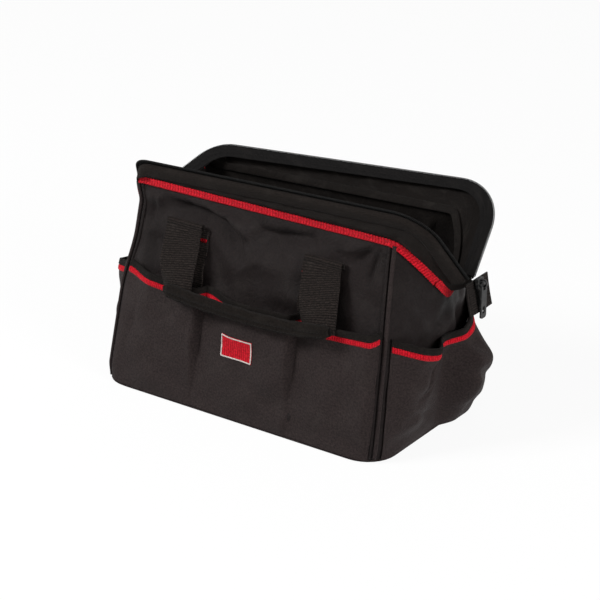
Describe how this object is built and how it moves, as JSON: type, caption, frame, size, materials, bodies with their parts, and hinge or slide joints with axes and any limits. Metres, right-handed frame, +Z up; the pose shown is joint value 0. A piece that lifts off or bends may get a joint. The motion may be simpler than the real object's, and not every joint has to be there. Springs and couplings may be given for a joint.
{
  "type": "tool bag",
  "caption": "Open-topped soft tool bag with outer pockets on every side, a wide wire-framed zip mouth and folded webbing carry handles.",
  "frame": {"origin": "middle of the underside of the base, on the surface the bag stands on", "axes": "+X along the bag towards the end where the zip's tail hangs, -Y towards the front with the label, +Z up"},
  "size_m": [0.3657, 0.1855, 0.22],
  "materials": {
    "body_fabric": "matte black coated polyester weave",
    "lining_fabric": "matte black binding tape",
    "webbing": "black cross-ribbed webbing",
    "red_tape": "red woven ribbed tape",
    "steel_wire": "bright spring wire, hidden in its hem",
    "zip_black": "black coil zip on woven tape",
    "gunmetal": "dark grey plated die casting",
    "stiff_board": "dark grey board"
  },
  "bodies": {
    "body": {"base_panel": "body_fabric", "front_panel": "body_fabric", "back_panel": "body_fabric", "left_end_panel": "body_fabric", "right_end_panel": "body_fabric", "piping_front_left": "body_fabric", "piping_front_right": "body_fabric", "piping_back_left": "body_fabric", "piping_back_right": "body_fabric", "front_pocket": "body_fabric", "back_pocket": "body_fabric", "left_pocket": "body_fabric", "right_pocket": "body_fabric", "left_mouth_saddle": "body_fabric", "right_mouth_saddle": "body_fabric", "front_pocket_hem": "lining_fabric", "back_pocket_hem": "lining_fabric", "left_pocket_hem": "lining_fabric", "right_pocket_hem": "lining_fabric", "front_pocket_red_tape": "red_tape", "back_pocket_red_tape": "red_tape", "left_pocket_red_tape": "red_tape", "right_pocket_red_tape": "red_tape", "label_patch": "red_tape", "left_seam_dip": "red_tape", "right_seam_dip": "red_tape", "front_left_anchor": "webbing", "front_right_anchor": "webbing", "back_left_anchor": "webbing", "back_right_anchor": "webbing", "zip_tail_tab": "webbing", "zip_tail_chain": "zip_black", "base_board": "stiff_board"},
    "front_jaw": {"front_band": "body_fabric", "front_seam_tape": "red_tape", "front_frame_wire": "steel_wire", "front_frame_hem": "lining_fabric", "front_zip_tape": "zip_black", "front_zip_chain": "zip_black"},
    "back_jaw": {"back_band": "body_fabric", "back_seam_tape": "red_tape", "back_frame_wire": "steel_wire", "back_frame_hem": "lining_fabric", "back_zip_tape": "zip_black", "back_zip_chain": "zip_black"},
    "front_handle": {"front_handle": "webbing"},
    "back_handle": {"back_handle": "webbing"},
    "slider": {"zip_slider": "gunmetal"},
    "pull": {"zip_pull": "gunmetal"}
  },
  "joints": [
    {"name": "front_jaw_turn", "type": "hinge", "parent": "body", "child": "front_jaw", "pos_m": [-0.165, 0, 0.145], "axis": [-0.9999, 0, -0.0114], "range_deg": [0, 38]},
    {"name": "back_jaw_turn", "type": "hinge", "parent": "body", "child": "back_jaw", "pos_m": [-0.165, 0, 0.145], "axis": [0.9999, 0, 0.0114], "range_deg": [0, 47.5]},
    {"name": "front_handle_fold", "type": "hinge", "parent": "body", "child": "front_handle", "pos_m": [0, -0.05429, 0.158], "axis": [-1, 0, 0], "range_deg": [0, 132]},
    {"name": "back_handle_fold", "type": "hinge", "parent": "body", "child": "back_handle", "pos_m": [0, 0.05815, 0.158], "axis": [1, 0, 0], "range_deg": [0, 124]},
    {"name": "zip_slide", "type": "slide", "parent": "body", "child": "slider", "axis": [0.1392, 0, -0.9903], "range_m": [0, 0.012]},
    {"name": "zip_pull_swing", "type": "hinge", "parent": "slider", "child": "pull", "pos_m": [0.19576, 0, 0.14985], "axis": [0, -1, 0], "range_deg": [0, 150]}
  ]
}
